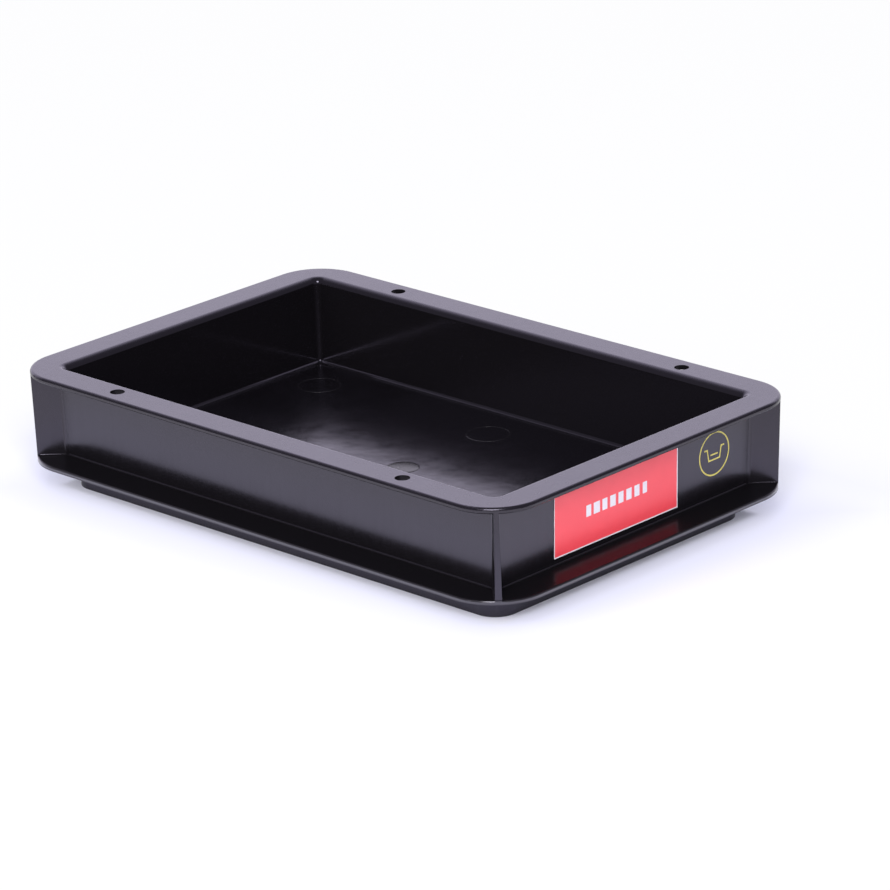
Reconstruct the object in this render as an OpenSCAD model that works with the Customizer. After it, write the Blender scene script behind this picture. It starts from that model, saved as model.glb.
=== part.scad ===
// Stacking tray for electronic assemblies, moulded in one piece with a channel-shaped side:
// a flat rim above, a matching ledge below, a recessed drafted wall between them, a diagonal
// rib in each corner and a foot ring that drops into the mouth of the tray beneath.
// Frame: X along the length, Y along the width, Z up, origin under the middle of the foot.

/* [Overall] */
// Length over the rim
tray_l = 300; // [240:1:400]
// Width over the rim
tray_w = 200; // [160:1:300]
// Height from the foot to the top of the rim
tray_h = 57; // [48:0.5:120]

/* [Rim] */
// Thickness of the rim flange
rim_t = 2.2; // [1.6:0.1:3]
// Flat width of the rim, from its outer edge to the rounding of the mouth
rim_flat_w = 14.2; // [13.5:0.1:18]
// Corner radius of the rim
rim_corner_r = 23.5; // [20:0.5:28]
// Rounding of the rim's outer top edge
rim_edge_r = 1.5; // [0.3:0.1:1.5]
// Rounding from the rim down into the mouth
mouth_r = 3.4; // [2.6:0.1:4]
// Diameter of the four lid holes in the rim
hole_d = 6.6; // [3.2:0.1:7]
// Distance between the lid holes along the length
hole_pitch_l = 175; // [120:1:190]
// Distance of a lid hole's centre from the long edge of the rim
hole_edge = 8.8; // [6:0.1:9.2]

/* [Wall] */
// Thickness of the side walls
wall_t = 2.2; // [1.6:0.1:3]
// Draft of the side walls, in degrees
wall_draft = 1.2; // [0.5:0.1:2]
// Least inner corner radius, at the floor
floor_corner_r = 2.1; // [2.1:0.1:4]
// Fillet between the wall and the underside of the rim
rim_fillet_r = 0.8; // [0.3:0.1:1.5]

/* [Floor and ledge] */
// Thickness of the floor
floor_t = 1.8; // [1.2:0.1:4]
// Height of the floor above the top of the ledge
floor_rise = 0.1; // [0:0.1:1]
// Fillet between the floor and the wall
floor_fillet_r = 2; // [0.5:0.1:2]
// Thickness of the ledge flange
ledge_t = 2; // [1.6:0.1:4]
// Distance of the ledge's edge inside the rim's edge
ledge_inset = 0.3; // [0:0.1:2]
// Corner radius of the ledge
ledge_corner_r = 25.5; // [22:0.5:28]
// Rounding of the ledge's top edge
ledge_edge_r = 0.9; // [0.3:0.1:1.2]
// Fillet between the wall and the ledge
ledge_fillet_r = 1.1; // [0.5:0.1:2]

/* [Foot] */
// Height of the foot ring below the ledge, which is how deep trays nest
foot_h = 13; // [6:0.5:20]
// Thickness of the foot ring
foot_t = 2.2; // [1.6:0.1:4]
// Clearance all round between the foot and the mouth of the tray beneath
foot_clearance = 0.3; // [0.2:0.1:1.5]
// Corner radius of the foot ring
foot_corner_r = 11; // [6:0.5:16]
// Draft of the foot ring, in degrees
foot_draft = 1.5; // [1:0.1:3]

/* [Corner ribs] */
// Thickness of a rib at the rim
rib_top_t = 2; // [1.6:0.1:4]
// Thickness of a rib at the ledge
rib_base_t = 3; // [1.6:0.1:5]
// Distance of a rib's outer edge inside the rounded corners of the flanges
rib_setback = 0.1; // [0.1:0.1:2]
// Fillet between a rib and the ledge
rib_fillet_r = 1; // [0.3:0.1:1.5]
// Fillet between a rib and the wall
rib_wall_fillet_r = 3; // [1:0.1:4]

/* [Label] */
// Width of the adhesive label on the short end
label_w = 80.5; // [40:0.5:100]
// Thickness of the label
label_t = 0.3; // [0.15:0.05:0.6]
// Distance of the label's middle from the middle of the short end
label_shift = -7.5; // [-15:0.5:15]
// Bare wall between the ledge and the label
label_above_ledge = 3.3; // [2:0.1:8]
// Bare wall between the label and the rim
label_below_rim = 4.8; // [2:0.1:12]
// Film of glue between the label and the wall
glue_t = 0.05; // [0.02:0.01:0.1]

/* [Hidden] */
$fn = 96;

// Heights, from the surface that the tray stands on
rim_low_z = tray_h - rim_t;
mouth_low_z = tray_h - mouth_r;
ledge_low_z = foot_h;
ledge_top_z = foot_h + ledge_t;
floor_top_z = ledge_top_z + floor_rise;
floor_low_z = floor_top_z - floor_t;

// Insets from the rim's outer edge, and the inset of the line that the wall's corners turn about,
// which is rounded up to a tenth so that straight and turned lengths meet exactly
mouth_inset = rim_flat_w + mouth_r;
wall_turn = ceil(10 * (inner_inset(floor_top_z) + floor_corner_r)) / 10;
foot_inset = mouth_inset + foot_clearance;
foot_turn = foot_inset + foot_corner_r;
ledge_turn = ledge_inset + ledge_corner_r;

// Half of the angle between a diagonal rib and the wall, in degrees
rib_half_angle = 67.5;
// Lean of a rib's sides, in degrees, as it tapers from the ledge up to the rim
rib_slant = atan((rib_base_t - rib_top_t) / 2 / (tray_h - ledge_low_z));

// How far the flange plates and the wall's own lips overlap, so that they join as one
flange_lap = 3;
// How far a fillet reaches into what it joins, and how far its round sinks there to end in a clean edge
fillet_lap = 0.5;
fillet_bite = 0.02;
// A little more than nothing, for cuts that pass right through
through = 1;

function inner_inset(z) = mouth_inset + (mouth_low_z - z) * tan(wall_draft);
function outer_inset(z) = inner_inset(z) - wall_t;

// Distance from a sharp corner to a rounded one, measured along the diagonal
function corner_gap(turn, radius) = turn * sqrt(2) - radius;

// Sweeps a profile round a rectangle. In the profile, x is the distance outwards from the line
// that the corners turn about, and y is the height.
module around(turn) {
    for (side = [0 : 3]) {
        across = side % 2 == 0;
        reach = (across ? tray_l : tray_w) / 2 - turn;
        run = (across ? tray_w : tray_l) - 2 * turn;
        rotate(90 * side) {
            translate([reach, 0, 0]) rotate([90, 0, 0]) linear_extrude(run, center = true) children();
            translate([reach, run / 2, 0]) rotate_extrude(angle = 90) children();
        }
    }
}

// Outline of the tray moved in by an inset
module outline(inset, radius) {
    l = tray_l - 2 * inset;
    w = tray_w - 2 * inset;
    square([l - 2 * radius, w], center = true);
    square([l, w - 2 * radius], center = true);
    for (x = [-1, 1], y = [-1, 1])
        translate([x * (l / 2 - radius), y * (w / 2 - radius)]) circle(radius);
}

// Section of a flange with its outer top edge rounded
module flange_section(radius, width, low_z, top_z, edge_r) {
    translate([radius - width, low_z]) square([width, top_z - low_z - edge_r]);
    translate([radius - width, low_z]) square([width - edge_r, top_z - low_z]);
    translate([radius - edge_r, top_z - edge_r]) circle(edge_r);
}

// Fillet between a level plate below and a wall on the left that leans away by a slant, in degrees.
// The two faces meet at the origin.
module fillet(radius, slant) {
    x = radius / cos(slant) - radius * tan(slant) - fillet_bite;
    y = radius - fillet_bite;
    difference() {
        translate([-fillet_lap, -fillet_lap]) square([x + fillet_lap, y + fillet_lap]);
        translate([x, y]) circle(radius);
    }
}

// Rectangle between two insets and two heights, in the wall's section
module strip(from_inset, to_inset, low_z, top_z) {
    translate([wall_turn - to_inset, low_z]) square([to_inset - from_inset, top_z - low_z]);
}

module wall_section() {
    polygon([
        [wall_turn - outer_inset(ledge_low_z), ledge_low_z],
        [wall_turn - outer_inset(mouth_low_z), mouth_low_z],
        [wall_turn - mouth_inset, mouth_low_z],
        [wall_turn - inner_inset(ledge_low_z), ledge_low_z]
    ]);
}

// Rounded mouth: a quarter of a round, level with the rim outside and with the wall inside
module mouth_section() {
    intersection() {
        translate([wall_turn - rim_flat_w, mouth_low_z]) circle(mouth_r);
        union() {
            strip(rim_flat_w, mouth_inset, rim_low_z, tray_h);
            polygon([
                [wall_turn - outer_inset(mouth_low_z), mouth_low_z],
                [wall_turn - outer_inset(tray_h), tray_h],
                [wall_turn - mouth_inset, tray_h],
                [wall_turn - mouth_inset, mouth_low_z]
            ]);
        }
    }
}

// Fillets along the wall: under the rim, above the ledge and round the floor
module wall_fillets() {
    translate([wall_turn - outer_inset(rim_low_z), rim_low_z])
        mirror([0, 1]) fillet(rim_fillet_r, wall_draft);
    translate([wall_turn - outer_inset(ledge_top_z), ledge_top_z])
        fillet(ledge_fillet_r, -wall_draft);
    translate([wall_turn - inner_inset(floor_top_z), floor_top_z])
        mirror([1, 0]) fillet(floor_fillet_r, wall_draft);
}

module wall() {
    around(wall_turn) {
        union() {
            wall_section();
            mouth_section();
            wall_fillets();
            strip(rim_flat_w - 2 * flange_lap, rim_flat_w, rim_low_z, tray_h);
            strip(rim_flat_w - 2 * flange_lap, outer_inset(ledge_low_z), ledge_low_z, ledge_top_z);
        }
    }
}

module rim() {
    around(rim_corner_r)
        flange_section(rim_corner_r, rim_flat_w - flange_lap, rim_low_z, tray_h, rim_edge_r);
}

module ledge() {
    around(ledge_turn)
        flange_section(ledge_corner_r, rim_flat_w - flange_lap, ledge_low_z, ledge_top_z, ledge_edge_r);
}

// The floor ends inside the wall. Where it is thicker than the ledge it goes on down inside the foot.
module floor_plate() {
    inset = inner_inset(floor_top_z) - wall_t / 2;
    low_z = max(floor_low_z, ledge_low_z);
    translate([0, 0, low_z]) linear_extrude(floor_top_z - low_z) outline(inset, wall_turn - inset);
    if (floor_low_z < ledge_low_z)
        translate([0, 0, floor_low_z]) linear_extrude(floor_t)
            outline(foot_inset + foot_t / 2, foot_corner_r - foot_t / 2);
}

module foot() {
    taper = foot_h * tan(foot_draft);
    top_z = max(floor_low_z + floor_t / 2, ledge_low_z + ledge_t / 2);
    around(foot_turn)
        polygon([
            [foot_corner_r - foot_t, 0],
            [foot_corner_r - taper, 0],
            [foot_corner_r, foot_h],
            [foot_corner_r, top_z],
            [foot_corner_r - foot_t - taper, top_z]
        ]);
}

// Diagonal rib of one corner, seen from the side: x runs in from the sharp corner of the rim
module rib_side() {
    rim_gap = corner_gap(rim_corner_r, rim_corner_r) + rib_setback;
    ledge_gap = corner_gap(ledge_turn, ledge_corner_r) + rib_setback;
    wall_low = corner_gap(wall_turn, wall_turn - outer_inset(ledge_low_z)) + wall_t / 2;
    wall_high = corner_gap(wall_turn, wall_turn - outer_inset(rim_low_z)) + wall_t / 2;
    polygon([
        [ledge_gap, ledge_top_z - ledge_t / 2],
        [wall_low, ledge_top_z - ledge_t / 2],
        [wall_high, rim_low_z + rim_t / 4],
        [rim_gap, rim_low_z + rim_t / 4]
    ]);
}

// The same rib seen from its outer edge: it tapers from the ledge up to the rim
module rib_front() {
    polygon([
        [-rib_base_t / 2, ledge_low_z],
        [rib_base_t / 2, ledge_low_z],
        [rib_top_t / 2, tray_h],
        [-rib_top_t / 2, tray_h]
    ]);
}

// Section of the upright fillet between a rib and the wall. The rib's side runs along the x axis and
// meets the wall at the origin. Behind the fillet the wall runs on by a reach, which fills out its own
// rounded corner.
module upright_section(radius, reach) {
    end = radius / tan(rib_half_angle);
    bearing = 180 - 2 * rib_half_angle;
    away = (radius - fillet_bite) / sin(rib_half_angle);
    difference() {
        polygon([
            [-end, -fillet_lap],
            [-end, 0],
            [end * cos(bearing), end * sin(bearing)],
            [0, -fillet_lap]
        ]);
        rotate(bearing + rib_half_angle) translate([away, 0]) circle(radius);
    }
    rotate(bearing) translate([-fillet_lap, -fillet_lap])
        square([reach + fillet_lap, fillet_lap - fillet_bite / 2]);
}

// Upright fillet on one side of a rib, along the line where the rib's side meets the wall's outside
module upright_fillet() {
    low_z = ledge_low_z + ledge_t / 2;
    top_z = rim_low_z + rim_t / 4;
    half_t = rib_base_t / 2 - (low_z - ledge_low_z) * tan(rib_slant);
    lean = atan(sqrt(2) * tan(wall_draft) + tan(rib_slant));
    reach = wall_turn - outer_inset(top_z) + flange_lap;
    translate([sqrt(2) * outer_inset(low_z) + half_t, half_t, low_z])
        rotate([rib_slant, -lean, 0])
            linear_extrude((top_z - low_z) / cos(lean)) upright_section(rib_wall_fillet_r, reach);
}

// Fillets along the foot of a rib. They stop short of the rounded edge of the ledge.
module rib_fillets() {
    start = corner_gap(ledge_turn, ledge_corner_r) + ledge_edge_r + fillet_lap;
    end = corner_gap(wall_turn, wall_turn - outer_inset(ledge_top_z)) + wall_t / 2;
    half_t = rib_base_t / 2 - ledge_t * tan(rib_slant);
    translate([start, 0, 0]) rotate([90, 0, 90]) linear_extrude(end - start)
        for (side = [0, 1])
            mirror([side, 0]) translate([half_t, ledge_top_z]) fillet(rib_fillet_r, rib_slant);
}

module rib() {
    span = 2 * wall_turn;
    intersection() {
        rotate([90, 0, 0]) linear_extrude(2 * rib_base_t, center = true) rib_side();
        rotate([90, 0, 90]) linear_extrude(span) rib_front();
    }
    rib_fillets();
    for (side = [0, 1]) mirror([0, side, 0]) upright_fillet();
}

module ribs() {
    for (x = [-1, 1], y = [-1, 1])
        translate([x * tray_l / 2, y * tray_w / 2, 0]) rotate(atan2(-y, -x)) rib();
}

module lid_holes() {
    for (x = [-1, 1], y = [-1, 1])
        translate([x * hole_pitch_l / 2, y * (tray_w / 2 - hole_edge), rim_low_z - through])
            cylinder(h = rim_t + 2 * through, d = hole_d);
}

module tray() {
    color([0.1, 0.1, 0.11])
        difference() {
            union() {
                wall();
                rim();
                ledge();
                floor_plate();
                foot();
                ribs();
            }
            lid_holes();
        }
}

// The label lies flat on the drafted wall of the short end
module end_label() {
    low_z = ledge_top_z + label_above_ledge;
    label_h = (rim_low_z - label_below_rim - low_z) / cos(wall_draft);
    color([0.9, 0.16, 0.2])
        translate([tray_l / 2 - outer_inset(low_z), label_shift, low_z])
            rotate([0, wall_draft, 0])
                translate([glue_t, -label_w / 2, 0])
                    cube([label_t, label_w, label_h]);
}

tray();
end_label();
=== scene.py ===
"""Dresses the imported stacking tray: moulded finish, label print, ink mark, floor marks and studio."""

import math

import bmesh
import bpy
from bpy.props import FloatProperty, FloatVectorProperty, IntProperty, PointerProperty
from mathutils import Matrix, Vector
from mathutils.bvhtree import BVHTree


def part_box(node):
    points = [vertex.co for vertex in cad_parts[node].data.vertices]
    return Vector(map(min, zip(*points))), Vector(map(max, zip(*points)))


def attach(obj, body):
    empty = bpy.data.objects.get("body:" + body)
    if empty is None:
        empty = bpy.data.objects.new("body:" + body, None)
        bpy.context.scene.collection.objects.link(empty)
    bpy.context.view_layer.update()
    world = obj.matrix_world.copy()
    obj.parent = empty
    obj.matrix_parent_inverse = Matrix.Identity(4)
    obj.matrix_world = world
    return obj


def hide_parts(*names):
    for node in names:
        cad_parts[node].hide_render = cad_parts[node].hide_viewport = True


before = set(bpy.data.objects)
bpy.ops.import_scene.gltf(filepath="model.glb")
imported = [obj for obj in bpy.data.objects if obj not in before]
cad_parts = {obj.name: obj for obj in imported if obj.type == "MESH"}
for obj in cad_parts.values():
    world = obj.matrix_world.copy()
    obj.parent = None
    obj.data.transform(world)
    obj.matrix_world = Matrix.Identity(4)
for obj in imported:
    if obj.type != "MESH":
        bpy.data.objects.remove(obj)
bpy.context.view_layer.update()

bl_info = {
    "name": "Stacking tray dressing",
    "version": (1, 0, 0),
    "blender": (4, 5, 0),
    "location": "View3D > Sidebar > Tray",
    "description": "Gives the packed stacking tray its moulded finish, its prints and a studio",
    "category": "Object",
}

MM = 0.001
TRAY_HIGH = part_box("tray")[1]
LABEL_LOW, LABEL_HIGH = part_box("end_label")
WHITE = (1.0, 1.0, 1.0, 1.0)

# Half the length and width of a line that runs round inside the tray's wall
WALL_REACH = Vector((133.0 * MM, 83.0 * MM))
# Place and radius of a rim hole, the same in all four quarters
HOLE = Vector((87.5 * MM, 91.2 * MM))
HOLE_R = 3.3 * MM
# Height of the inner floor. The ledge's upper face lies 0.1 mm below it.
BOTTOM_Z = 15.1 * MM
# How far outside the tray a ray starts
RAY_START = 0.1

PLASTIC_IOR = 1.74
# Tint of what the plastic mirrors
SHEEN = (0.86, 0.80, 1.0, 1.0)
# How much paler than the plastic its worn spots and its dulled marks are
WORN = 2.2
PALER = 1.3
# Share of the matt finish on the ledge and in the holes, and of the same dull shader on the foot, where it
# is painted shade under the ledge
LEDGE_MATT = 0.70
FOOT_PAINTED_SHADE = 0.30
HOLE_MATT = 0.85
# Scales of the plastic's unevenness, per metre
WAVES = 28.0
CLOUD = 24.0
RIPPLE = 75.0
SCUFF = 90.0
DRAG = (420.0, 420.0, 9.0)

# Thickness of the printed ink, and how deep it sits in what it is printed on
INK_T = 0.05 * MM
INK_SUNK = 0.02 * MM


class Value:
    """An output socket of a node tree. Arithmetic on it adds Math nodes to that tree."""

    def __init__(self, graph, socket):
        self.graph = graph
        self.socket = socket

    def math(self, operation, first, second=0.0):
        return self.graph.node("ShaderNodeMath", {"operation": operation}, {0: first, 1: second})

    def __add__(self, other):
        return self.math("ADD", self, other)

    def __radd__(self, other):
        return self.math("ADD", other, self)

    def __sub__(self, other):
        return self.math("SUBTRACT", self, other)

    def __rsub__(self, other):
        return self.math("SUBTRACT", other, self)

    def __mul__(self, other):
        return self.math("MULTIPLY", self, other)

    def __rmul__(self, other):
        return self.math("MULTIPLY", other, self)

    def __truediv__(self, other):
        return self.math("DIVIDE", self, other)

    def __abs__(self):
        return self.math("ABSOLUTE", self)

    def most(self, other):
        return self.math("MAXIMUM", self, other)

    def ramp(self, low, high):
        """0 below low, 1 above high and a smooth step between them."""
        return self.graph.node(
            "ShaderNodeMapRange",
            {"interpolation_type": "SMOOTHSTEP"},
            {"Value": self, "From Min": low, "From Max": high, "To Min": 0.0, "To Max": 1.0},
        )

    def band(self, start, full, fade, end):
        """1 from full to fade, 0 below start and above end, and smooth steps between them."""
        return self.ramp(start, full) * (1.0 - self.ramp(fade, end))

    def step(self, edge, soft):
        """A smooth step from 0 to 1 about an edge."""
        return self.ramp(edge - soft, edge + soft)


class Graph:
    """A node tree that is built node by node."""

    def __init__(self, tree):
        self.tree = tree

    def node(self, kind, settings=None, sockets=None, out=0):
        """Adds a node, sets it up, fills or links its sockets and returns one of its outputs."""
        node = self.tree.nodes.new(kind)
        for name, setting in (settings or {}).items():
            setattr(node, name, setting)
        for name, value in (sockets or {}).items():
            socket = self.find(node.inputs, name)
            for entry in value if isinstance(value, list) else [value]:
                if isinstance(entry, Value):
                    self.tree.links.new(entry.socket, socket)
                else:
                    socket.default_value = entry
        return Value(self, self.find(node.outputs, out)) if len(node.outputs) else None

    @staticmethod
    def find(sockets, name):
        if isinstance(name, int):
            return sockets[name]
        for socket in sockets:
            if name == socket.identifier or (name == socket.name and socket.enabled):
                return socket
        raise KeyError(name)

    def axis(self, vector, name):
        return self.node("ShaderNodeSeparateXYZ", {}, {"Vector": vector}, out=name)

    def axes(self, vector):
        return [self.axis(vector, name) for name in "XYZ"]


class Finish(Graph):
    """A material whose nodes read the piece's own Object coordinates."""

    def __init__(self, name):
        self.material = bpy.data.materials.new(name)
        self.material.use_nodes = True
        super().__init__(self.material.node_tree)
        self.tree.nodes.clear()

    def place(self, scale=(1.0, 1.0, 1.0)):
        """Object coordinates, stretched by a Mapping node."""
        point = self.node("ShaderNodeTexCoord", out="Object")
        return self.node("ShaderNodeMapping", {}, {"Vector": point, "Scale": scale})

    def noise(self, point, scale, detail, roughness=0.5):
        return self.node(
            "ShaderNodeTexNoise",
            {"noise_dimensions": "3D"},
            {"Vector": point, "Scale": scale, "Detail": detail, "Roughness": roughness},
            out="Fac",
        )

    def mix(self, share, first, second):
        return self.node(
            "ShaderNodeMix",
            {"data_type": "RGBA", "blend_type": "MIX"},
            {"Factor_Float": share, "A_Color": first, "B_Color": second},
            out="Result_Color",
        )

    def bump(self, height, distance, normal=None):
        """A normal that a height disturbs, on top of another normal where one is given."""
        sockets = {"Height": height, "Distance": distance, "Strength": 1.0}
        if normal is not None:
            sockets["Normal"] = normal
        return self.node("ShaderNodeBump", {}, sockets, out="Normal")

    def shader(self, **sockets):
        """A Principled shader whose sockets are given by name."""
        named = {name.replace("_", " "): value for name, value in sockets.items()}
        return self.node("ShaderNodeBsdfPrincipled", {}, named)

    def surface(self, **sockets):
        """Ends the material in one Principled shader."""
        return self.cover(self.shader(**sockets))

    def cover(self, shader):
        self.node("ShaderNodeOutputMaterial", {}, {"Surface": shader})
        return self.material


class Pattern(Graph):
    """A Geometry Nodes tree with named inputs, which is run once and left as a plain mesh."""

    KINDS = {int: "NodeSocketInt", float: "NodeSocketFloat", Vector: "NodeSocketVector"}

    def __init__(self, name, inputs):
        super().__init__(bpy.data.node_groups.new(name, "GeometryNodeTree"))
        self.name = name
        self.inputs = inputs
        self.identifiers = {}
        for label, value in inputs.items():
            socket = self.tree.interface.new_socket(
                name=label, in_out="INPUT", socket_type=self.KINDS[type(value)]
            )
            self.identifiers[label] = socket.identifier
        self.tree.interface.new_socket(name="Mesh", in_out="OUTPUT", socket_type="NodeSocketGeometry")
        self.group = self.tree.nodes.new("NodeGroupInput")

    def input(self, label):
        return Value(self, self.find(self.group.outputs, self.identifiers[label]))

    def vector(self, x=0.0, y=0.0, z=0.0):
        return self.node("ShaderNodeCombineXYZ", {}, {"X": x, "Y": y, "Z": z})

    def run(self, shape, material):
        """Closes the tree on a shape, evaluates it and returns an object with the finished mesh."""
        whole = self.node("GeometryNodeRealizeInstances", {}, {"Geometry": shape})
        coated = self.node("GeometryNodeSetMaterial", {}, {"Geometry": whole, "Material": material})
        self.node("NodeGroupOutput", {}, {"Mesh": coated})
        carrier = add_object(self.name + "_pattern", bpy.data.meshes.new(self.name + "_pattern"))
        modifier = carrier.modifiers.new(self.name, "NODES")
        modifier.node_group = self.tree
        for label, value in self.inputs.items():
            modifier[self.identifiers[label]] = value
        mesh = evaluated_mesh(carrier)
        bpy.data.objects.remove(carrier)
        if not mesh.polygons:
            raise RuntimeError("the pattern " + self.name + " made no faces")
        mesh.name = self.name
        return add_object(self.name, mesh)


def add_object(name, mesh):
    piece = bpy.data.objects.new(name, mesh)
    bpy.context.scene.collection.objects.link(piece)
    return piece


def evaluated_mesh(piece):
    """The mesh of an object with its modifiers worked in."""
    bpy.context.view_layer.update()
    graph = bpy.context.evaluated_depsgraph_get()
    return bpy.data.meshes.new_from_object(piece.evaluated_get(graph), depsgraph=graph)


def wear_material(piece, material):
    piece.data.materials.clear()
    piece.data.materials.append(material)


def opaque(colour, share=1.0):
    """A colour, or a share of it, with full alpha as a node's socket takes it."""
    return tuple(share * part for part in colour) + (1.0,)


def past_wall(x, y):
    """How far a point lies outside the wall, on the side where that is more."""
    return (abs(x) - WALL_REACH.x).most(abs(y) - WALL_REACH.y)


def tray_surface():
    """A tree of the tray's faces, to find where a ray meets the moulding."""
    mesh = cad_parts["tray"].data
    return BVHTree.FromPolygons([v.co for v in mesh.vertices], [p.vertices for p in mesh.polygons])


def wall_spot(surface, y, z):
    """The point of the labelled end's outer wall at a height, and the wall's outward direction."""
    hit, normal, _, _ = surface.ray_cast(Vector((TRAY_HIGH.x + RAY_START, y, z)), Vector((-1, 0, 0)))
    if hit is None:
        raise RuntimeError("no wall behind the point given")
    return hit, normal if normal.x > 0 else -normal


def floor_height(surface):
    """The height of the tray's inner floor, taken a little off its middle."""
    above = Vector((11 * MM, 7 * MM, TRAY_HIGH.z + RAY_START))
    hit, _, _, _ = surface.ray_cast(above, Vector((0, 0, -1)))
    if hit is None:
        raise RuntimeError("no floor below the mouth")
    return hit.z


def wall_tilt(normal):
    """Angle about Y that lays a piece drawn on an upright wall onto the drafted one."""
    return math.atan2(-normal.z, normal.x)


class MouldingSettings(bpy.types.PropertyGroup):
    """The plastic and the edges of the moulding"""

    plastic: FloatVectorProperty(
        name="Plastic", description="Colour of the black plastic", subtype="COLOR",
        default=(0.0038, 0.0033, 0.0040), min=0.0, max=1.0,
    )
    roughness: FloatProperty(
        name="Roughness", description="How matt the moulded surface is", subtype="FACTOR",
        default=0.21, min=0.0, max=1.0,
    )
    edge_r: FloatProperty(
        name="Edge rounding", description="Rounding of the moulding's crisp edges",
        subtype="DISTANCE", unit="LENGTH", default=0.25 * MM, min=0.0, max=0.8 * MM,
    )
    grain_d: FloatProperty(
        name="Grain size", description="Distance between the pits of the mould's texture",
        subtype="DISTANCE", unit="LENGTH", default=0.45 * MM, min=0.1 * MM, max=3 * MM,
    )
    grain_h: FloatProperty(
        name="Grain depth", description="Depth of the mould's texture",
        subtype="DISTANCE", unit="LENGTH", default=0.005 * MM, min=0.0, max=0.1 * MM,
    )


class LabelSettings(bpy.types.PropertyGroup):
    """The label's film and its print"""

    film: FloatVectorProperty(
        name="Film", description="Printed colour of the label", subtype="COLOR",
        default=(0.76, 0.055, 0.072), min=0.0, max=1.0,
    )
    paper: FloatVectorProperty(
        name="Paper", description="Unprinted colour of the label", subtype="COLOR",
        default=(0.64, 0.62, 0.65), min=0.0, max=1.0,
    )
    border: FloatProperty(
        name="Border", description="Unprinted edge of the label",
        subtype="DISTANCE", unit="LENGTH", default=0.55 * MM, min=0.0, max=4 * MM,
    )
    row_l: FloatProperty(
        name="Row length", description="Length of the row of printed blocks",
        subtype="DISTANCE", unit="LENGTH", default=42 * MM, min=5 * MM, max=70 * MM,
    )
    block_h: FloatProperty(
        name="Block height", description="Height of the printed blocks",
        subtype="DISTANCE", unit="LENGTH", default=5.2 * MM, min=1 * MM, max=20 * MM,
    )
    block_gap: FloatProperty(
        name="Block gap", description="Least gap between two printed blocks",
        subtype="DISTANCE", unit="LENGTH", default=1.2 * MM, min=0.2 * MM, max=5 * MM,
    )
    blocks: IntProperty(
        name="Blocks", description="Number of printed blocks in the row", default=8, min=1, max=30,
    )
    seed: IntProperty(name="Seed", description="Seed of the blocks' widths", default=5, min=0)


class MarkSettings(bpy.types.PropertyGroup):
    """The ink mark beside the label"""

    ink: FloatVectorProperty(
        name="Ink", description="Colour of the printed mark", subtype="COLOR",
        default=(0.52, 0.45, 0.10), min=0.0, max=1.0,
    )
    ring_d: FloatProperty(
        name="Ring diameter", description="Outer diameter of the printed ring",
        subtype="DISTANCE", unit="LENGTH", default=20.5 * MM, min=5 * MM, max=30 * MM,
    )
    line_w: FloatProperty(
        name="Line width", description="Width of the printed lines",
        subtype="DISTANCE", unit="LENGTH", default=0.7 * MM, min=0.2 * MM, max=3 * MM,
    )
    place_y: FloatProperty(
        name="Place along the end", description="Distance of the mark from the middle of the end",
        subtype="DISTANCE", unit="LENGTH", default=57.9 * MM, min=-75 * MM, max=75 * MM,
    )
    place_z: FloatProperty(
        name="Place in height", description="Height of the mark's middle",
        subtype="DISTANCE", unit="LENGTH", default=36.1 * MM, min=16 * MM, max=50 * MM,
    )


class FloorMarkSettings(bpy.types.PropertyGroup):
    """The witness rings and the dome on the inner floor"""

    ring_d: FloatProperty(
        name="Ring diameter", description="Diameter of the witness rings on the inner floor",
        subtype="DISTANCE", unit="LENGTH", default=20 * MM, min=4 * MM, max=40 * MM,
    )
    line_w: FloatProperty(
        name="Line width", description="Width of a witness ring's line",
        subtype="DISTANCE", unit="LENGTH", default=0.9 * MM, min=0.1 * MM, max=3 * MM,
    )
    line_h: FloatProperty(
        name="Line height", description="Height of a witness ring above the floor",
        subtype="DISTANCE", unit="LENGTH", default=0.08 * MM, min=0.01 * MM, max=0.4 * MM,
    )
    spread_x: FloatProperty(
        name="Spread in length", description="Distance between the outermost rings along the length",
        subtype="DISTANCE", unit="LENGTH", default=216 * MM, min=20 * MM, max=240 * MM,
    )
    spread_y: FloatProperty(
        name="Spread in width", description="Distance between the two rows of rings",
        subtype="DISTANCE", unit="LENGTH", default=114 * MM, min=20 * MM, max=140 * MM,
    )
    dome_d: FloatProperty(
        name="Dome diameter", description="Diameter of the shallow dome over the moulding's gate",
        subtype="DISTANCE", unit="LENGTH", default=15 * MM, min=4 * MM, max=40 * MM,
    )
    dome_h: FloatProperty(
        name="Dome height", description="Height of the dome above the floor",
        subtype="DISTANCE", unit="LENGTH", default=0.5 * MM, min=0.1 * MM, max=1 * MM,
    )


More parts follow.
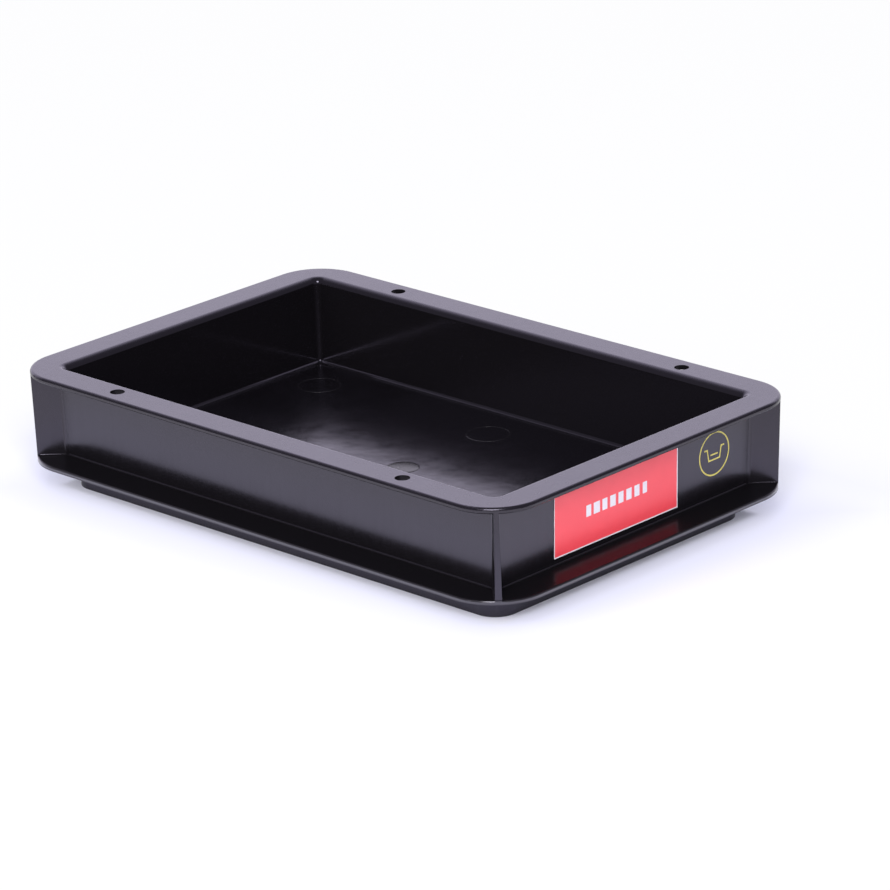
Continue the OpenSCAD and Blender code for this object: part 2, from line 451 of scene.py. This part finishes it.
class StageSettings(bpy.types.PropertyGroup):
    """The studio floor, the light and the camera"""

    floor: FloatVectorProperty(
        name="Floor", description="Colour of the studio floor", subtype="COLOR",
        default=(0.86, 0.86, 0.95), min=0.0, max=1.0,
    )
    # Painted light: this glow, mixed into what is seen of the floor, lifts the tray's shadow beside the
    # tray, and its share rises with distance from the wall
    painted_floor_light: FloatProperty(
        name="Floor glow", description="Share of even glow in what is seen of the floor near the tray",
        subtype="FACTOR", default=0.42, min=0.0, max=1.0,
    )
    sky: FloatVectorProperty(
        name="Surround", description="Colour of the soft light from all round", subtype="COLOR",
        default=(0.70, 0.71, 1.0), min=0.0, max=1.0,
    )
    sky_light: FloatProperty(
        name="Surround level", description="Level of the soft light from all round",
        default=0.6, min=0.0, max=2.0,
    )
    key_power: FloatProperty(
        name="Key lamp", description="Power of the soft lamp above the camera",
        subtype="POWER", default=21.0, min=0.0, max=500.0,
    )
    fill_power: FloatProperty(
        name="Fill lamp", description="Power of the soft lamp beside the camera",
        subtype="POWER", default=47.0, min=0.0, max=500.0,
    )
    lens: FloatProperty(
        name="Lens", description="Focal length of the camera", subtype="DISTANCE_CAMERA",
        default=199.16, min=20.0, max=400.0,
    )
    azimuth: FloatProperty(
        name="Azimuth", description="Direction of the camera about the tray", subtype="ANGLE",
        default=math.radians(43.46),
    )
    elevation: FloatProperty(
        name="Elevation", description="Height of the camera's view", subtype="ANGLE",
        default=math.radians(19.98),
    )
    roll: FloatProperty(
        name="Roll", description="Turn of the camera about its view", subtype="ANGLE",
        default=math.radians(-1.595),
    )
    camera: FloatVectorProperty(
        name="Camera", description="Place of the camera, from the middle of the rim's top",
        subtype="XYZ", unit="LENGTH", default=(1.4446, -1.4965, 0.7245),
    )


def moulded_plastic(settings):
    """Near-black conductive plastic: fine mould texture, drag lines on the walls, a worn rim and painted
    shade on the foot.
    """
    finish = Finish("moulded_plastic")
    point = finish.place()
    x, y, z = finish.axes(point)

    # Masks of the moulding's places: 1 there and 0 elsewhere
    rim = z.ramp(TRAY_HIGH.z - 1.2 * MM, TRAY_HIGH.z - 0.2 * MM)
    outside = past_wall(x, y).ramp(0.0, 0.5 * MM)
    inside = (1.0 - outside) * (1.0 - rim)
    bottom = inside * (1.0 - z.ramp(BOTTOM_Z + 0.3 * MM, BOTTOM_Z + 1.5 * MM))
    ledge = z.band(BOTTOM_Z - 0.5 * MM, BOTTOM_Z - 0.2 * MM, BOTTOM_Z, BOTTOM_Z + 0.6 * MM)
    ledge_side = z.band(BOTTOM_Z - 2.1 * MM, BOTTOM_Z - 1.9 * MM, BOTTOM_Z - 0.1 * MM, BOTTOM_Z)
    foot = 1.0 - z.ramp(BOTTOM_Z - 1.9 * MM, BOTTOM_Z - 1.3 * MM)
    hole_x = abs(x) - HOLE.x
    hole_y = abs(y) - HOLE.y
    hole = 1.0 - (hole_x * hole_x + hole_y * hole_y).ramp(HOLE_R ** 2, (HOLE_R + 0.2 * MM) ** 2)
    upward = finish.axis(finish.node("ShaderNodeNewGeometry", out="Normal"), "Z")
    rubbed = outside * ledge_side * (1.0 - upward.ramp(0.8, 0.98))
    # The dull shader is a matt finish on the ledge's top and in the holes, and painted shade on the foot and
    # the lower part of the ledge's side, under the ledge
    matt = (LEDGE_MATT * outside * ledge).most(FOOT_PAINTED_SHADE * foot).most(HOLE_MATT * hole)

    # Unevenness of the surface
    waves = finish.noise(point, scale=WAVES, detail=1.0)
    cloud = finish.noise(point, scale=CLOUD, detail=3.0)
    ripple = finish.noise(point, scale=RIPPLE, detail=2.0)
    drag = finish.noise(finish.place(scale=DRAG), scale=1.0, detail=2.0)
    scuff = finish.noise(point, scale=SCUFF, detail=5.0, roughness=0.7).ramp(0.60, 0.78)
    grain = finish.noise(point, scale=1.0 / settings.grain_d, detail=1.0)
    ripples = 4.0 * ripple * bottom
    drag_lines = 0.4 * drag * (1.0 - rim) * (1.0 - bottom)
    coarse = finish.bump(waves + ripples + drag_lines, 0.03 * MM)
    normal = finish.bump(grain, settings.grain_h, normal=coarse)

    # The rim is a little rougher than the outer walls, and the inside is smoother, its bottom less so
    uneven = 0.09 * (drag - 0.5) + 0.05 * (cloud - 0.5)
    rim_part = 0.05 * rim
    bottom_part = (0.07 + 0.10 * (ripple - 0.5)) * bottom
    inside_part = -0.10 * inside
    roughness = settings.roughness + uneven + rim_part + bottom_part + inside_part
    colour = finish.mix(scuff * rim, opaque(settings.plastic), opaque(settings.plastic, WORN))
    clean = finish.shader(
        Base_Color=colour, Roughness=roughness, IOR=PLASTIC_IOR, Specular_Tint=SHEEN, Normal=normal,
        Coat_Weight=rubbed, Coat_Roughness=0.32, Coat_IOR=1.6,
    )
    # A dull, weakly mirroring copy of the plastic, darker than the clean one: matt finish on the ledge and
    # in the holes, painted shade on the foot
    dull = finish.shader(Base_Color=colour, Roughness=0.6, IOR=1.2, Normal=normal)
    return finish.cover(finish.node("ShaderNodeMixShader", {}, {0: matt, 1: clean, 2: dull}))


def dulled_plastic(settings):
    """The same plastic where a pin or the gate left it duller and paler."""
    finish = Finish("dulled_plastic")
    cloud = finish.noise(finish.place(), scale=300.0, detail=2.0)
    roughness = 0.26 + 0.08 * (cloud - 0.5)
    return finish.surface(
        Base_Color=opaque(settings.plastic, PALER), Roughness=roughness, IOR=PLASTIC_IOR,
    )


def printed_film(settings):
    """Red printed film: the print stops short of the edge and lies a little off the middle."""
    finish = Finish("printed_film")
    point = finish.place()
    _, y, z = finish.axes(point)
    soft = 0.06 * MM
    thin_border = 0.15 * settings.border
    printed = (
        (LABEL_HIGH.y - y).step(settings.border, soft)
        * (y - LABEL_LOW.y).step(thin_border, soft)
        * (z - LABEL_LOW.z).step(settings.border, soft)
    )
    mottle = finish.noise(point, scale=160.0, detail=3.0)
    red = finish.mix(mottle, opaque(settings.film), opaque(settings.film, 0.93))
    colour = finish.mix(printed, opaque(settings.paper), red)
    ripple = finish.bump(finish.noise(point, scale=60.0, detail=1.0), 0.02 * MM)
    roughness = 0.34 + 0.08 * (mottle - 0.5)
    return finish.surface(Base_Color=colour, Roughness=roughness, IOR=1.72, Normal=ripple)


def ink_finish(name, colour, tone):
    """Printing ink with a slightly uneven coat. The tone is the share of colour where it is thin."""
    finish = Finish(name)
    coat = finish.noise(finish.place(), scale=900.0, detail=2.0)
    shade = finish.mix(coat.ramp(0.45, 0.75), opaque(colour), opaque(colour, tone))
    lay = finish.bump(coat, 0.004 * MM)
    roughness = 0.42 + 0.1 * (coat - 0.5)
    return finish.surface(Base_Color=shade, Roughness=roughness, Normal=lay)


class TRAY_OT_moulding(bpy.types.Operator):
    """Gives the moulding soft edges and the finish of the black plastic"""

    bl_idname = "tray.moulding"
    bl_label = "Moulding"

    # Points closer than this are one, and faces that turn less than this are one
    MERGE = 0.0005 * MM
    FLAT = math.radians(0.3)
    # Edges that turn more than this are rounded
    CRISP = math.radians(38)
    EDGE_STEPS = 2

    def execute(self, context):
        settings = context.scene.tray_moulding
        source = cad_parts["tray"]
        mesh = bpy.data.meshes.new("moulding")
        shape = bmesh.new()
        shape.from_mesh(source.data)
        bmesh.ops.remove_doubles(shape, verts=shape.verts, dist=self.MERGE)
        bmesh.ops.dissolve_limit(shape, angle_limit=self.FLAT, verts=shape.verts, edges=shape.edges)
        shape.to_mesh(mesh)
        shape.free()
        mesh.shade_smooth()
        carrier = add_object("moulding_edges", mesh)
        bevel = carrier.modifiers.new("edges", "BEVEL")
        bevel.width = settings.edge_r
        bevel.segments = self.EDGE_STEPS
        bevel.limit_method = "ANGLE"
        bevel.angle_limit = self.CRISP
        bevel.miter_outer = "MITER_ARC"
        flat_faces = carrier.modifiers.new("flat_faces", "WEIGHTED_NORMAL")
        flat_faces.keep_sharp = True
        finished = evaluated_mesh(carrier)
        bpy.data.objects.remove(carrier)
        finished.name = "moulding"
        piece = add_object("moulding", finished)
        wear_material(piece, moulded_plastic(settings))
        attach(piece, "root")
        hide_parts("tray")
        return {"FINISHED"}


class TRAY_OT_end_label(bpy.types.Operator):
    """Gives the label on the short end its printed film"""

    bl_idname = "tray.end_label"
    bl_label = "End label"

    def execute(self, context):
        wear_material(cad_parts["end_label"], printed_film(context.scene.tray_label))
        return {"FINISHED"}


class TRAY_OT_label_print(bpy.types.Operator):
    """Prints a row of plain white blocks on the label"""

    bl_idname = "tray.label_print"
    bl_label = "Label print"

    # Width of the narrowest block as a share of the widest, and the tone of thin ink
    NARROW = 0.55
    TONE = 0.94

    def execute(self, context):
        settings = context.scene.tray_label
        middle = (LABEL_LOW + LABEL_HIGH) / 2
        _, normal = wall_spot(tray_surface(), middle.y, middle.z)
        face = self.label_face(middle, normal) + normal * (INK_T / 2 - INK_SUNK)
        pattern = Pattern("label_print", {
            "Blocks": settings.blocks,
            "Row Length": settings.row_l,
            "Block Height": settings.block_h,
            "Block Gap": settings.block_gap,
            "Ink Thickness": INK_T,
            "Seed": settings.seed,
            "Place": face,
            "Turn": Vector((0.0, wall_tilt(normal), 0.0)),
        })
        count = pattern.input("Blocks")
        pitch = pattern.input("Row Length") / count
        widest = pitch - pattern.input("Block Gap")
        start = pitch * 0.5 - pattern.input("Row Length") * 0.5
        row = pattern.node("GeometryNodeMeshLine", {"mode": "OFFSET"}, {
            "Count": count,
            "Start Location": pattern.vector(y=start),
            "Offset": pattern.vector(y=pitch),
        })
        block = pattern.node("GeometryNodeMeshCube", {}, {
            "Size": pattern.vector(pattern.input("Ink Thickness"), 1.0, pattern.input("Block Height")),
        }, out="Mesh")
        width = pattern.node("FunctionNodeRandomValue", {"data_type": "FLOAT"}, {
            "Min_001": widest * self.NARROW, "Max_001": widest, "Seed": pattern.input("Seed"),
        }, out="Value_001")
        placed = pattern.node("GeometryNodeInstanceOnPoints", {}, {
            "Points": row, "Instance": block, "Scale": pattern.vector(1.0, width, 1.0),
        })
        leaned = pattern.node("GeometryNodeTransform", {}, {
            "Geometry": placed,
            "Translation": pattern.input("Place"),
            "Rotation": pattern.input("Turn"),
        })
        piece = pattern.run(leaned, ink_finish("white_ink", settings.paper, self.TONE))
        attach(piece, "root")
        return {"FINISHED"}

    @staticmethod
    def label_face(middle, normal):
        """The middle of the label's outer face."""
        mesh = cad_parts["end_label"].data
        proud = max((v.co - middle).dot(normal) for v in mesh.vertices)
        return middle + normal * proud


class TRAY_OT_ring_mark(bpy.types.Operator):
    """Prints a ring with a plain tray outline beside the label"""

    bl_idname = "tray.ring_mark"
    bl_label = "Ring mark"

    RING_STEPS = 96
    TONE = 0.82
    # Least cosine that a mitre is drawn for
    MITRE_LEAST = 0.3
    # Strokes of the tray outline, as shares of the ring's radius
    STROKES = (
        ((-0.66, 0.26), (-0.46, 0.26), (-0.36, -0.26), (0.36, -0.26), (0.46, 0.26), (0.66, 0.26)),
        ((-0.24, -0.02), (0.24, -0.02)),
    )

    def execute(self, context):
        settings = context.scene.tray_mark
        centre, normal = wall_spot(tray_surface(), settings.place_y, settings.place_z)
        radius = settings.ring_d / 2
        shape = bmesh.new()
        turn = [2 * math.pi * step / self.RING_STEPS for step in range(self.RING_STEPS)]
        middle_r = radius - settings.line_w / 2
        ring = [Vector((middle_r * math.cos(a), middle_r * math.sin(a))) for a in turn]
        self.ribbon(shape, ring, settings.line_w, True)
        for stroke in self.STROKES:
            points = [Vector(point) * radius for point in stroke]
            self.ribbon(shape, points, settings.line_w, False)
        lean = Matrix.Rotation(wall_tilt(normal), 4, "Y")
        place = Matrix.Translation(centre + normal * (INK_T - INK_SUNK)) @ lean
        bmesh.ops.transform(shape, matrix=place, verts=shape.verts)
        bmesh.ops.recalc_face_normals(shape, faces=shape.faces)
        mesh = bpy.data.meshes.new("ring_mark")
        shape.to_mesh(mesh)
        shape.free()
        piece = add_object("ring_mark", mesh)
        wear_material(piece, ink_finish("yellow_ink", settings.ink, self.TONE))
        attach(piece, "root")
        return {"FINISHED"}

    def ribbon(self, shape, points, width, closed):
        """A flat stroke of ink along a line, drawn on the plane of Y and Z with its face at X = 0."""
        count = len(points)
        rows = []
        for index, point in enumerate(points):
            ahead = points[(index + 1) % count] if closed or index < count - 1 else None
            behind = points[index - 1] if closed or index > 0 else None
            first = (point - behind).normalized() if behind is not None else (ahead - point).normalized()
            second = (ahead - point).normalized() if ahead is not None else first
            along = (first + second).normalized()
            side = Vector((-along.y, along.x))
            reach = width / 2 / max(self.MITRE_LEAST, side.dot(Vector((-first.y, first.x))))
            rows.append([
                shape.verts.new((depth, point.x + hand * reach * side.x, point.y + hand * reach * side.y))
                for depth, hand in ((0.0, -1), (0.0, 1), (-INK_T, 1), (-INK_T, -1))
            ])
        for index in range(count if closed else count - 1):
            here, there = rows[index], rows[(index + 1) % count]
            for corner in range(4):
                after = (corner + 1) % 4
                shape.faces.new((here[corner], here[after], there[after], there[corner]))
        if not closed:
            shape.faces.new(rows[0])
            shape.faces.new(rows[-1])


class TRAY_OT_floor_marks(bpy.types.Operator):
    """Sets the faint witness rings and the dome over the gate on the inner floor"""

    bl_idname = "tray.floor_marks"
    bl_label = "Floor marks"

    RINGS_X = 3
    RINGS_Y = 2
    RING_STEPS = 72
    LINE_STEPS = 16
    DOME_STEPS = 64

    def execute(self, context):
        settings = context.scene.tray_floor_marks
        pattern = Pattern("floor_marks", {
            "Ring Diameter": settings.ring_d,
            "Line Width": settings.line_w,
            "Line Height": settings.line_h,
            "Spread X": settings.spread_x,
            "Spread Y": settings.spread_y,
            "Dome Radius": settings.dome_d / 2,
            "Dome Height": settings.dome_h,
            "Floor Height": floor_height(tray_surface()),
        })
        spots = pattern.node("GeometryNodeMeshGrid", {}, {
            "Size X": pattern.input("Spread X"), "Size Y": pattern.input("Spread Y"),
            "Vertices X": self.RINGS_X, "Vertices Y": self.RINGS_Y,
        }, out="Mesh")
        circle = pattern.node("GeometryNodeCurvePrimitiveCircle", {"mode": "RADIUS"}, {
            "Resolution": self.RING_STEPS, "Radius": pattern.input("Ring Diameter") * 0.5,
        })
        half = pattern.input("Line Width") * 0.5
        round_line = pattern.node("GeometryNodeCurvePrimitiveCircle", {"mode": "RADIUS"}, {
            "Resolution": self.LINE_STEPS, "Radius": half,
        })
        line = pattern.node("GeometryNodeTransform", {}, {
            "Geometry": round_line, "Scale": pattern.vector(1.0, pattern.input("Line Height") / half, 1.0),
        })
        ring = pattern.node("GeometryNodeCurveToMesh", {}, {"Curve": circle, "Profile Curve": line})
        rings = pattern.node("GeometryNodeInstanceOnPoints", {}, {"Points": spots, "Instance": ring})
        dome_r = pattern.input("Dome Radius")
        ball = pattern.node("GeometryNodeMeshUVSphere", {}, {
            "Segments": self.DOME_STEPS, "Rings": self.DOME_STEPS // 2, "Radius": dome_r,
        }, out="Mesh")
        flattened = pattern.node("GeometryNodeTransform", {}, {
            "Geometry": ball, "Scale": pattern.vector(1.0, 1.0, pattern.input("Dome Height") / dome_r),
        })
        dome = pattern.node("GeometryNodeSetShadeSmooth", {}, {"Geometry": flattened, "Shade Smooth": True})
        joined = pattern.node("GeometryNodeJoinGeometry", {}, {"Geometry": [rings, dome]})
        lifted = pattern.node("GeometryNodeTransform", {}, {
            "Geometry": joined, "Translation": pattern.vector(z=pattern.input("Floor Height")),
        })
        piece = pattern.run(lifted, dulled_plastic(context.scene.tray_moulding))
        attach(piece, "root")
        return {"FINISHED"}


class TRAY_OT_stage(bpy.types.Operator):
    """Builds the white floor, the soft light and the camera"""

    bl_idname = "tray.stage"
    bl_label = "Stage"

    FLOOR_HALF = 6.0
    FLOOR_Z = -0.3 * MM
    # Distance from the wall over which the painted light on the floor rises to its full share near the tray,
    # so that the contact shadow ends there
    CONTACT = 5 * MM
    # Distances between which the painted light's lavender tint, a painted shadow colour, fades to white
    TINTED = 10 * MM
    UNTINTED = 50 * MM
    # Distances between which the painted light takes over from the floor's real shadow
    SHADED = 20 * MM
    UNSHADED = 110 * MM
    # Colour of the painted light beside the tray, a lavender painted shadow tint, and the painted light's
    # share far away
    PAINTED_SHADOW_TINT = (0.82, 0.82, 1.0, 1.0)
    FAR_PAINTED_LIGHT = 0.95

    # Places and sizes of the lamps, and the side lamp's share of the fill lamp's power
    KEY = Vector((1.00, -1.25, 1.50))
    KEY_SIZE = 0.92
    FILL = Vector((1.35, -1.35, 0.80))
    SIDE = Vector((-0.45, -1.85, 0.70))
    FILL_SIZE = 1.0
    SIDE_SHARE = 0.5

    # Direction of the bright surround that the rim mirrors
    BRIGHT = Vector((-0.732, 0.61, 0.305))
    # Colour of the mirrored surround, its least level and its rise towards the bright direction
    MIRRORED = (0.88, 0.83, 1.0, 1.0)
    MIRRORED_LOW = 0.19
    MIRRORED_RISE = 1.43
    # Cosines to the bright direction between which the level rises
    RISE_FROM = 0.3
    RISE_TO = 0.97
    # Height above which the bright part falls off, and how fast
    STEEP = 0.4
    STEEP_FALL = 0.5
    # Share of the soft light at the horizon, and its rise to the zenith
    HORIZON = 0.2
    ZENITH_RISE = 1.2

    SENSOR_W = 36.0
    CLIP_END = 50.0

    def execute(self, context):
        settings = context.scene.tray_stage
        self.lay_floor(settings)
        self.light(context, settings)
        self.set_camera(context, settings)
        context.scene.view_settings.view_transform = "Standard"
        return {"FINISHED"}

    @staticmethod
    def seen(graph):
        """1 for what the camera sees, straight or through a reflection."""
        ray = graph.node("ShaderNodeLightPath", out="Is Camera Ray")
        gloss = graph.node("ShaderNodeLightPath", out="Is Glossy Ray")
        passed = graph.node("ShaderNodeLightPath", out="Is Transmission Ray")
        return ray.most(gloss).most(passed)

    def lay_floor(self, settings):
        half = self.FLOOR_HALF
        corners = [(-half, -half), (half, -half), (half, half), (-half, half)]
        mesh = bpy.data.meshes.new("studio_floor")
        mesh.from_pydata([(x, y, self.FLOOR_Z) for x, y in corners], [], [(0, 1, 2, 3)])
        floor = add_object("studio_floor", mesh)
        finish = Finish("studio_floor")
        paper = finish.node("ShaderNodeBsdfDiffuse", {}, {"Color": opaque(settings.floor)})
        x, y, _ = finish.axes(finish.place())
        # What is seen of the floor mixes the paper with painted light: none at the wall, a share that lifts
        # the shadow beside the tray, tinted lavender there as painted shadow colour, and nearly plain white
        # farther off
        away = past_wall(x, y)
        tone = finish.mix(away.ramp(self.TINTED, self.UNTINTED), self.PAINTED_SHADOW_TINT, WHITE)
        glow = finish.node("ShaderNodeEmission", {}, {"Color": tone, "Strength": 1.0})
        near = settings.painted_floor_light * away.ramp(0.0, self.CONTACT)
        far = self.FAR_PAINTED_LIGHT * away.ramp(self.SHADED, self.UNSHADED)
        share = near.most(far) * self.seen(finish)
        lit = finish.node("ShaderNodeMixShader", {}, {0: share, 1: paper, 2: glow})
        wear_material(floor, finish.cover(lit))

    def light(self, context, settings):
        world = bpy.data.worlds.new("studio")
        world.use_nodes = True
        context.scene.world = world
        graph = Graph(world.node_tree)
        graph.tree.nodes.clear()
        x, y, height = graph.axes(graph.node("ShaderNodeTexCoord", out="Generated"))
        towards = x * self.BRIGHT.x + y * self.BRIGHT.y + height * self.BRIGHT.z
        steep = (height - self.STEEP).most(0.0)
        rise = (towards - self.STEEP_FALL * steep).ramp(self.RISE_FROM, self.RISE_TO)
        level = self.MIRRORED_LOW + self.MIRRORED_RISE * rise
        overhead = settings.sky_light * (self.HORIZON + self.ZENITH_RISE * height.most(0.0))
        sky = opaque(settings.sky)
        soft = graph.node("ShaderNodeBackground", {}, {"Color": sky, "Strength": overhead})
        shown = graph.node("ShaderNodeBackground", {}, {"Color": self.MIRRORED, "Strength": level})
        both = graph.node("ShaderNodeMixShader", {}, {0: self.seen(graph), 1: soft, 2: shown})
        graph.node("ShaderNodeOutputWorld", {}, {"Surface": both})
        self.hang_lamp("key_lamp", self.KEY, self.KEY_SIZE, settings.key_power)
        for name, place, share in (("fill_lamp", self.FILL, 1.0), ("side_lamp", self.SIDE, self.SIDE_SHARE)):
            lamp = self.hang_lamp(name, place, self.FILL_SIZE, share * settings.fill_power)
            lamp.visible_glossy = False

    @staticmethod
    def hang_lamp(name, place, size, power):
        lamp = bpy.data.lights.new(name, "AREA")
        lamp.shape = "SQUARE"
        lamp.size = size
        lamp.energy = power
        holder = add_object(name, lamp)
        holder.matrix_world = Matrix.Translation(place) @ place.to_track_quat("Z", "Y").to_matrix().to_4x4()
        return holder

    def set_camera(self, context, settings):
        lens = bpy.data.cameras.new("camera")
        lens.sensor_width = self.SENSOR_W
        lens.lens = settings.lens
        lens.clip_end = self.CLIP_END
        level = math.cos(settings.elevation)
        back = Vector((
            math.sin(settings.azimuth) * level,
            -math.cos(settings.azimuth) * level,
            math.sin(settings.elevation),
        ))
        flat_right = Vector((0, 0, 1)).cross(back).normalized()
        flat_up = back.cross(flat_right)
        right = flat_right * math.cos(settings.roll) + flat_up * math.sin(settings.roll)
        up = flat_up * math.cos(settings.roll) - flat_right * math.sin(settings.roll)
        camera = add_object("camera", lens)
        turn = Matrix((right, up, back)).transposed().to_4x4()
        rim_top = Vector((0.0, 0.0, TRAY_HIGH.z))
        camera.matrix_world = Matrix.Translation(rim_top + Vector(settings.camera)) @ turn
        context.scene.camera = camera


OPERATORS = (
    TRAY_OT_moulding,
    TRAY_OT_end_label,
    TRAY_OT_label_print,
    TRAY_OT_ring_mark,
    TRAY_OT_floor_marks,
    TRAY_OT_stage,
)

GROUPS = {
    "tray_moulding": MouldingSettings,
    "tray_label": LabelSettings,
    "tray_mark": MarkSettings,
    "tray_floor_marks": FloorMarkSettings,
    "tray_stage": StageSettings,
}


class TRAY_PT_dressing(bpy.types.Panel):
    """Lists the steps that dress the tray"""

    bl_idname = "TRAY_PT_dressing"
    bl_label = "Stacking tray"
    bl_space_type = "VIEW_3D"
    bl_region_type = "UI"
    bl_category = "Tray"

    def draw(self, context):
        for operator in OPERATORS:
            self.layout.operator(operator.bl_idname)
        for name, group in GROUPS.items():
            box = self.layout.box()
            for field in group.__annotations__:
                box.prop(getattr(context.scene, name), field)


def register():
    for name, group in GROUPS.items():
        bpy.utils.register_class(group)
        setattr(bpy.types.Scene, name, PointerProperty(type=group))
    for operator in OPERATORS:
        bpy.utils.register_class(operator)
    bpy.utils.register_class(TRAY_PT_dressing)


def unregister():
    bpy.utils.unregister_class(TRAY_PT_dressing)
    for operator in reversed(OPERATORS):
        bpy.utils.unregister_class(operator)
    for name, group in reversed(GROUPS.items()):
        delattr(bpy.types.Scene, name)
        bpy.utils.unregister_class(group)


def main():
    register()
    bpy.ops.tray.moulding()
    bpy.ops.tray.end_label()
    bpy.ops.tray.label_print()
    bpy.ops.tray.ring_mark()
    bpy.ops.tray.floor_marks()
    bpy.ops.tray.stage()


if __name__ == "__main__":
    main()
